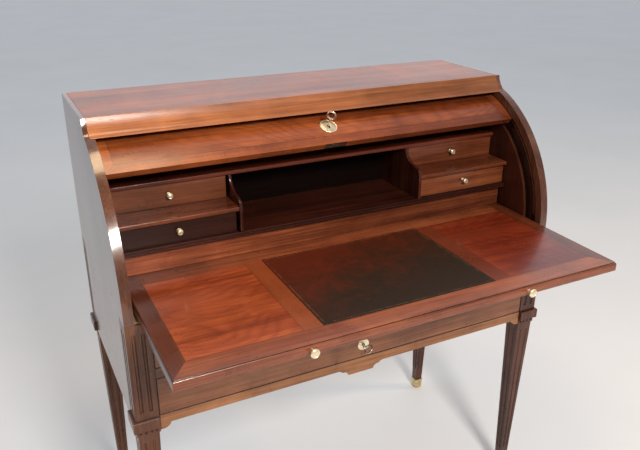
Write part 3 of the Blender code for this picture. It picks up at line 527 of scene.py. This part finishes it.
LOOKS = {
    # The right side board takes the darker UMBER tone, the left BROWN: painted shade on the right
    "side_left": side_wood("side_left_wood", 11.0, BROWN),
    "side_right": side_wood("side_right_wood", 12.0, UMBER),
    "top_board": wood("top_wood", "x", ORANGE, 13.0, 1.2, rough=0.30, coat=0.18, coat_rough=0.16),
    # Fascia: lighter at the left end and darker at the right end, as painted light and shade
    "fascia": wood(
        "fascia_wood", "x", AMBER, 14.0, rough=0.31, coat=0.08, coat_rough=0.18, fade=(1.55, 1.06, 0.56)
    ),
    "back_panel": oak_look("back_oak", "x", 15.0),
    "apron_rail": front_wood("apron_wood", HONEY, 16.0, 0.4500, 0.5183, RAIL_JOINT_X),
    "divider_rail": front_wood("divider_wood", TAN, 17.0, 0.6028, 0.6258, RAIL_JOINT_X),
    "slide_dustboard": oak_look("dustboard_oak", "x", 18.0),
    "drawer_runner_left": oak_look("runner_left_oak", "y", 19.0),
    "drawer_runner_right": oak_look("runner_right_oak", "y", 20.0),
    # Linings and gradin base take the dark WINE tone as painted shade
    "lining_left": wood("lining_left_wood", "z", WINE, 21.0, rough=0.32, coat=0.1, shine=0.3),
    "lining_right": wood("lining_right_wood", "z", WINE, 22.0, rough=0.32, coat=0.1, shine=0.3),
    "gradin_base": wood("base_wood", "x", WINE, 23.0, rough=0.36, coat=0.0, shine=0.15, dirt=0.95),
    # Riser: much lighter at the left end, as painted light
    "riser": wood("riser_wood", "x", MAHOGANY, 24.0, coat=0.1, shine=0.3, fade=(2.6, 1.0, 0.95)),
    "gradin_top": wood("gradin_top_wood", "x", RED, 25.0, rough=0.30, coat=0.1, shine=0.3),
    "gradin_divider_left": wood("divider_left_wood", "z", WINE, 26.0, rough=0.24, coat=0.2, shine=0.3),
    "gradin_divider_right": wood("divider_right_wood", "z", WINE, 27.0, rough=0.24, coat=0.2, shine=0.3),
    "step_shelf_left": wood("step_left_wood", "x", MAHOGANY, 28.0, rough=0.28, coat=0.1, shine=0.3),
    "step_shelf_right": wood("step_right_wood", "x", MAHOGANY, 29.0, rough=0.28, coat=0.1, shine=0.3),
    # Gradin back: near-black NIGHT tone as painted shade in the niche
    "gradin_back": wood("gradin_back_wood", "x", NIGHT, 30.0, rough=0.55, coat=0.0, shine=0.06),
    "slide_board": slide_wood("slide_wood"),
    "slide_leather": leather_look("slide_leather"),
    "cylinder_shell": cylinder_wood("cylinder_wood"),
    "upper_drawer_front": front_wood("upper_front_wood", TAN, 31.0, 0.6264, 0.7280, DRAWER_JOINT_X),
    "lower_drawer_front": front_wood("lower_front_wood", TAN, 32.0, 0.5188, 0.6023, DRAWER_JOINT_X, 1.3),
    "upper_drawer_tray": oak_look("upper_tray_oak", "y", 33.0),
    "lower_drawer_tray": oak_look("lower_tray_oak", "y", 34.0),
    "cylinder_arm_left": IRON,
    "cylinder_arm_right": IRON,
    "cylinder_lock": BROWN_IRON,
    "lower_drawer_lock": IRON,
    "cylinder_bolt": STEEL,
    "lower_drawer_bolt": STEEL,
}
for index, place in enumerate(("front_left", "front_right", "rear_left", "rear_right")):
    # Right-hand legs take the darker UMBER tone: painted shade on the right
    tones = BROWN if place.endswith("left") else UMBER
    LOOKS["leg_" + place] = wood(
        "leg_wood_" + place, "z", tones, 40.0 + index, rough=0.28, coat=0.12, shine=0.30, dirt=0.9
    )
    LOOKS["sabot_" + place] = OLD_BRASS
for index, place in enumerate(("upper_left", "upper_right", "lower_left", "lower_right")):
    # The lower left small drawer takes the near-black SMOKE tone as painted shade, the upper left the
    # lighter TAWNY tone as painted light
    tones = {"lower_left": SMOKE, "upper_left": TAWNY}.get(place, MAHOGANY)
    LOOKS["small_drawer_" + place] = wood(
        "small_wood_" + place, "x", tones, 50.0 + index, rough=0.30, coat=0.1, shine=0.3, dirt=0.6
    )

# Rounding of each CAD node's corners, in metres
ROUNDING = {
    "gradin_divider": 0.0026,
    "lining": 0.0022,
    "gradin_base": 0.0005,
    "slide_board": 0.0005,
    "slide_leather": 0.0002,
    "cylinder_lock": 0.0004,
    "lower_drawer": 0.0008,
    "small_drawer": 0.0009,
    "top_board": 0.0010,
    "side": 0.0012,
    "leg": 0.0006,
    "sabot": 0.0007,
}


def finish_node(name, node):
    """Welds, rounds and repaints one CAD node."""
    mesh = node.data
    if "custom_normal" in mesh.attributes:
        mesh.attributes.remove(mesh.attributes["custom_normal"])
    mesh.shade_smooth()
    weld = node.modifiers.new("weld", "WELD")
    weld.merge_threshold = 0.00001
    width = next((size for key, size in ROUNDING.items() if name.startswith(key)), 0.0007)
    bevel = node.modifiers.new("rounding", "BEVEL")
    bevel.width = width
    bevel.segments = 2
    bevel.limit_method = "ANGLE"
    bevel.angle_limit = math.radians(32)
    normals = node.modifiers.new("normals", "WEIGHTED_NORMAL")
    normals.weight = 90
    if name in LOOKS:
        mesh.materials.clear()
        mesh.materials.append(LOOKS[name])


for node_name, node_object in NODES.items():
    finish_node(node_name, node_object)


# ---- pieces in finer mesh ----------------------------------------------------------------------------
def new_piece(name, work, material, body, replaced=(), angle=35):
    """Turns the mesh into a piece that rides on a body in place of CAD nodes."""
    bmesh.ops.recalc_face_normals(work, faces=work.faces)
    mesh = bpy.data.meshes.new(name)
    work.to_mesh(mesh)
    work.free()
    mesh.shade_smooth()
    mesh.set_sharp_from_angle(angle=math.radians(angle))
    mesh.materials.append(material)
    piece = bpy.data.objects.new(name, mesh)
    bpy.context.scene.collection.objects.link(piece)
    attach(piece, body)
    if replaced:
        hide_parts(*replaced)
    return piece


def frame_of(along):
    """along as a unit vector, and two more that are square to it."""
    along = Vector(along).normalized()
    side = Vector((1, 0, 0)) if abs(along.x) < 0.9 else Vector((0, 1, 0))
    side = (side - side.dot(along) * along).normalized()
    return along, side, along.cross(side)


def lathe(work, base, along, profile, count=40, closed=False):
    """Adds a turned shape; profile is (distance, radius) from its inner end to its outer end."""
    along, side, other = frame_of(along)
    rings = []
    for distance, radius in profile:
        ring = []
        for step in range(count):
            turn = 2 * math.pi * step / count
            ring.append(
                work.verts.new(
                    Vector(base)
                    + along * distance
                    + radius * (math.cos(turn) * side + math.sin(turn) * other)
                )
            )
        rings.append(ring)
    pairs = list(zip(rings, rings[1:]))
    if closed:
        pairs.append((rings[-1], rings[0]))
    for low, high in pairs:
        for step in range(count):
            after = (step + 1) % count
            work.faces.new((low[step], low[after], high[after], high[step]))
    if not closed:
        work.faces.new(rings[0][::-1])
        work.faces.new(rings[-1])


def smooth_profile(points, steps=5):
    """Catmull-Rom curve through the profile points."""
    found = []
    for index in range(len(points) - 1):
        before = points[max(index - 1, 0)]
        start, end = points[index], points[index + 1]
        after = points[min(index + 2, len(points) - 1)]
        for step in range(steps):
            t = step / steps
            found.append(
                tuple(
                    0.5
                    * (
                        2 * start[k]
                        + (end[k] - before[k]) * t
                        + (2 * before[k] - 5 * start[k] + 4 * end[k] - after[k]) * t * t
                        + (3 * start[k] - before[k] - 3 * end[k] + after[k]) * t**3
                    )
                    for k in range(2)
                )
            )
    found.append(points[-1])
    return found


def slide_knob(name, base, body, replaced):
    """Turned brass knob: a bare waist flaring to a nearly flat head with a fine sunk ring."""
    work = bmesh.new()
    waist = [(0.0, 0.0038), (0.0040, 0.0036), (0.0066, 0.0044), (0.0086, 0.0068), (0.0102, 0.0084)]
    rim = [(0.0108, 0.0087), (0.0122, 0.0087), (0.0132, 0.0081), (0.0136, 0.0072)]
    face = [(0.0134, 0.0069), (0.0132, 0.0066), (0.0134, 0.0062), (0.0138, 0.0054), (0.0140, 0.0030)]
    profile = smooth_profile(waist) + smooth_profile(rim, 3) + face + [(0.0140, 0.0004)]
    lathe(work, base, (0, -1, 0), profile, 44)
    return new_piece(name, work, BRASS, body, (replaced,), 50)


KNOB_DEPTH = 0.794


def knob(name, base, size, body, replaced):
    """Turned brass knob: foot plate, waist, domed head with a sunk ring and a centre button."""
    foot = [(0.0, 0.38), (0.010, 0.385), (0.055, 0.37), (0.080, 0.31)]
    waist = [(0.085, 0.24), (0.20, 0.19), (0.33, 0.20), (0.44, 0.34), (0.54, 0.455), (0.62, 0.495)]
    waist = smooth_profile(waist)
    rim = smooth_profile([(0.64, 0.50), (0.70, 0.490), (0.745, 0.450), (0.765, 0.395)], 3)
    face = [(0.762, 0.375), (0.745, 0.345), (0.742, 0.315), (0.758, 0.285), (0.775, 0.245)]
    face += [(0.782, 0.200), (0.776, 0.165), (0.782, 0.130), (0.792, 0.070), (0.794, 0.010)]
    work = bmesh.new()
    profile = [(d / KNOB_DEPTH * size, r * size) for d, r in foot + waist + rim + face]
    lathe(work, base, (0, -1, 0), profile, 44)
    return new_piece(name, work, BRASS, body, (replaced,), 50)


for side, sign in (("left", -1), ("right", 1)):
    slide_knob(
        "knob_slide_" + side,
        (sign * 0.236, SLIDE_FRONT_Y - GAP, 0.7440),
        "slide",
        "slide_knob_" + side,
    )
    for level, face_y, z in (("upper", 0.0560, 0.8955), ("lower", -0.0020, 0.8385)):
        knob(
            "knob_" + level + "_" + side,
            (sign * 0.3505, face_y + CASE_Y - GAP, z),
            0.0130,
            "small_" + level + "_" + side,
            "small_knob_" + level + "_" + side,
        )


def plate(name, base, along, down, radius, thick, body, replaced):
    """Round keyhole plate with a rolled rim, an engraved ring and a keyhole cut through it."""
    work = bmesh.new()
    profile = [(0.0, KEYHOLE_R), (0.0, radius), (thick * 0.45, radius)]
    profile += smooth_profile(
        [
            (thick * 0.60, radius - 0.0002),
            (thick, radius - 0.0009),
            (thick * 0.98, radius - 0.0017),
            (thick * 0.80, radius - 0.0022),
        ],
        3,
    )
    profile += [(thick * 0.80, radius - 0.0030), (thick * 0.92, radius - 0.0034)]
    profile += [(thick * 0.95, KEYHOLE_R + 0.0006), (thick * 0.85, KEYHOLE_R)]
    lathe(work, base, along, profile, 64, True)
    piece = new_piece(name, work, BRASS, body, (replaced,), 40)
    cutter_work = bmesh.new()
    along = Vector(along).normalized()
    down = Vector(down).normalized()
    across = along.cross(down)
    corners = []
    for reach in (-0.002, thick + 0.002):
        for a, b in ((-0.0013, 0.0), (0.0013, 0.0), (0.0017, 0.0085), (-0.0017, 0.0085)):
            corner = Vector(base) + reach * along + a * across + b * down
            corners.append(cutter_work.verts.new(corner))
    for face in BOX_FACES:
        cutter_work.faces.new([corners[index] for index in face])
    bmesh.ops.recalc_face_normals(cutter_work, faces=cutter_work.faces)
    mesh = bpy.data.meshes.new(name + "_slot")
    cutter_work.to_mesh(mesh)
    cutter_work.free()
    slot = bpy.data.objects.new(name + "_slot", mesh)
    cut = piece.modifiers.new("slot", "BOOLEAN")
    cut.operation = "DIFFERENCE"
    cut.solver = "EXACT"
    cut.object = slot
    graph = bpy.context.evaluated_depsgraph_get()
    made = bpy.data.meshes.new_from_object(piece.evaluated_get(graph))
    piece.modifiers.clear()
    piece.data = made
    bpy.data.objects.remove(slot)
    return piece


KEY_ANGLE = math.radians(CYLINDER_KEY_ANGLE)
OUTWARD = Vector((0.0, -math.cos(KEY_ANGLE), math.sin(KEY_ANGLE)))
EDGEWARD = Vector((0.0, -math.sin(KEY_ANGLE), -math.cos(KEY_ANGLE)))
CYLINDER_PLATE = Vector((KEY_X, PIVOT.y, PIVOT.z)) + (SHELL_OUTER_R + GAP) * OUTWARD
plate(
    "plate_cylinder", CYLINDER_PLATE, OUTWARD, EDGEWARD, 0.0200, 0.0016, "cylinder", "cylinder_escutcheon"
)
for level, z in (("upper", UPPER_KEY_Z), ("lower", LOWER_KEY_Z)):
    plate(
        "plate_" + level + "_drawer",
        (KEY_X, DRAWER_FACE_Y - GAP, z),
        (0, -1, 0),
        (0, 0, -1),
        0.0140,
        0.0012,
        level + "_drawer",
        level + "_drawer_escutcheon",
    )


def key(name, base, along, across, inside, ring_at, body, replaced):
    """Steel key: a turned stem with collars, a notched bit and a round bow."""
    base, along, across = Vector(base), Vector(along).normalized(), Vector(across).normalized()
    side = along.cross(across)
    work = bmesh.new()
    end = ring_at - 0.0078
    collars = [(-0.0110, 0.0020), (-0.0108, 0.0026), (-0.0098, 0.0029), (-0.0088, 0.0026)]
    collars += [(-0.0086, 0.0021), (-0.0050, 0.0018), (-0.0034, 0.0021), (-0.0028, 0.0028)]
    collars += [(-0.0018, 0.0028), (-0.0010, 0.0021), (0.0004, 0.0014)]
    profile = [(inside, 0.0016), (inside + 0.0005, 0.0020)]
    profile += [(end + distance, radius) for distance, radius in collars]
    lathe(work, base, along, profile, 24)
    count, sides = 48, 14
    centre = base + ring_at * along
    rings = []
    for step in range(count):
        turn = 2 * math.pi * step / count
        out = math.cos(turn) * along + math.sin(turn) * across
        ring = []
        for corner in range(sides):
            roll = 2 * math.pi * corner / sides
            reach = 0.0092 + 0.0018 * math.cos(roll)
            ring.append(work.verts.new(centre + reach * out + 0.0018 * math.sin(roll) * side))
        rings.append(ring)
    for step in range(count):
        low, high = rings[step], rings[(step + 1) % count]
        for corner in range(sides):
            after = (corner + 1) % sides
            work.faces.new((low[corner], low[after], high[after], high[corner]))
    teeth = ((0.0008, 0.0018, 0.0080), (0.0018, 0.0030, 0.0062), (0.0030, 0.0042, 0.0080))
    for start, stop, reach in teeth:
        corners = []
        for run in (inside + start, inside + stop):
            for a, b in ((0.0, -0.0010), (reach, -0.0010), (reach, 0.0010), (0.0, 0.0010)):
                corners.append(work.verts.new(base + run * along + a * across + b * side))
        for face in BOX_FACES:
            work.faces.new([corners[index] for index in face])
    return new_piece(name, work, STEEL, body, (replaced,), 40)


lean = math.radians(CYLINDER_KEY_LEAN)
key(
    "key_cylinder",
    (KEY_X, PIVOT.y, PIVOT.z),
    OUTWARD,
    math.cos(lean) * Vector((1, 0, 0)) + math.sin(lean) * EDGEWARD,
    0.2756,
    SHELL_OUTER_R + 0.0310,
    "cylinder_key_body",
    "cylinder_key",
)
key(
    "key_lower_drawer",
    (KEY_X, DRAWER_FACE_Y, LOWER_KEY_Z),
    (0, -1, 0),
    (1, 0, 1),
    -0.0235,
    0.0225,
    "lower_drawer_key_body",
    "lower_drawer_key",
)


# ---- floor and light ---------------------------------------------------------------------------------
FLOOR_HALF = 30.0
FLOOR_DROP = 0.0005


def make_floor():
    """A plain pale floor, just under the feet."""
    look = Look("floor_paint")
    cloud = look.noise(look.place, 1.2, 5.0, 0.6)
    grit = look.noise(look.place, 90.0, 3.0, 0.6)
    look.put("Base Color", look.ramp(cloud, [(0.3, (0.75, 0.76, 0.77)), (0.7, (0.79, 0.80, 0.81))]))
    look.put("Roughness", look.math("MULTIPLY_ADD", grit, 0.1, 0.55))
    look.bump(grit, 0.0004, 0.3)
    work = bmesh.new()
    bmesh.ops.create_grid(work, x_segments=2, y_segments=2, size=FLOOR_HALF)
    mesh = bpy.data.meshes.new("floor")
    work.to_mesh(mesh)
    work.free()
    mesh.materials.append(look.material)
    floor = bpy.data.objects.new("floor", mesh)
    floor.location = (0.0, 0.0, -FLOOR_DROP)
    bpy.context.scene.collection.objects.link(floor)


def make_light(name, place, target, size, power, colour):
    data = bpy.data.lights.new(name, "AREA")
    data.shape = "RECTANGLE"
    data.size, data.size_y = size
    data.energy = power
    data.color = colour
    light = bpy.data.objects.new(name, data)
    light.location = place
    light.rotation_mode = "QUATERNION"
    aim = Vector(target) - Vector(place)
    light.rotation_quaternion = aim.to_track_quat("-Z", "Y")
    bpy.context.scene.collection.objects.link(light)


def make_world():
    """Bright pale surroundings behind the desk, dimmer overhead and in front of it."""
    world = bpy.data.worlds.new("studio")
    world.use_nodes = True
    nodes, links = world.node_tree.nodes, world.node_tree.links
    background = nodes["Background"]
    background.inputs["Color"].default_value = (0.90, 0.94, 1.0, 1.0)
    split = nodes.new("ShaderNodeSeparateXYZ")
    links.new(nodes.new("ShaderNodeTexCoord").outputs["Generated"], split.inputs[0])
    level = nodes.new("ShaderNodeMapRange")
    level.interpolation_type = "SMOOTHSTEP"
    links.new(split.outputs[1], level.inputs[0])
    for socket, value in zip(list(level.inputs)[1:5], (-0.35, 0.75, 0.28, 1.0)):
        socket.default_value = value
    links.new(level.outputs[0], background.inputs["Strength"])
    bpy.context.scene.world = world


make_floor()
make_world()
make_light("window", (-0.12, -2.4, 2.42), (0.0, 0.0, 0.7), (0.5, 0.6), 76.0, (1.0, 0.94, 0.88))
make_light("lamp", (-0.20, 0.12, 2.6), (0.0, 0.0, 0.8), (0.5, 0.5), 11.0, (1.0, 0.70, 0.42))
make_light("low_sun", (3.4, -0.9, 2.6), (0.9, -0.4, 0.0), (0.7, 0.7), 32.0, (1.0, 0.76, 0.52))
bpy.context.scene.view_settings.view_transform = "Standard"

bpy.context.view_layer.update()
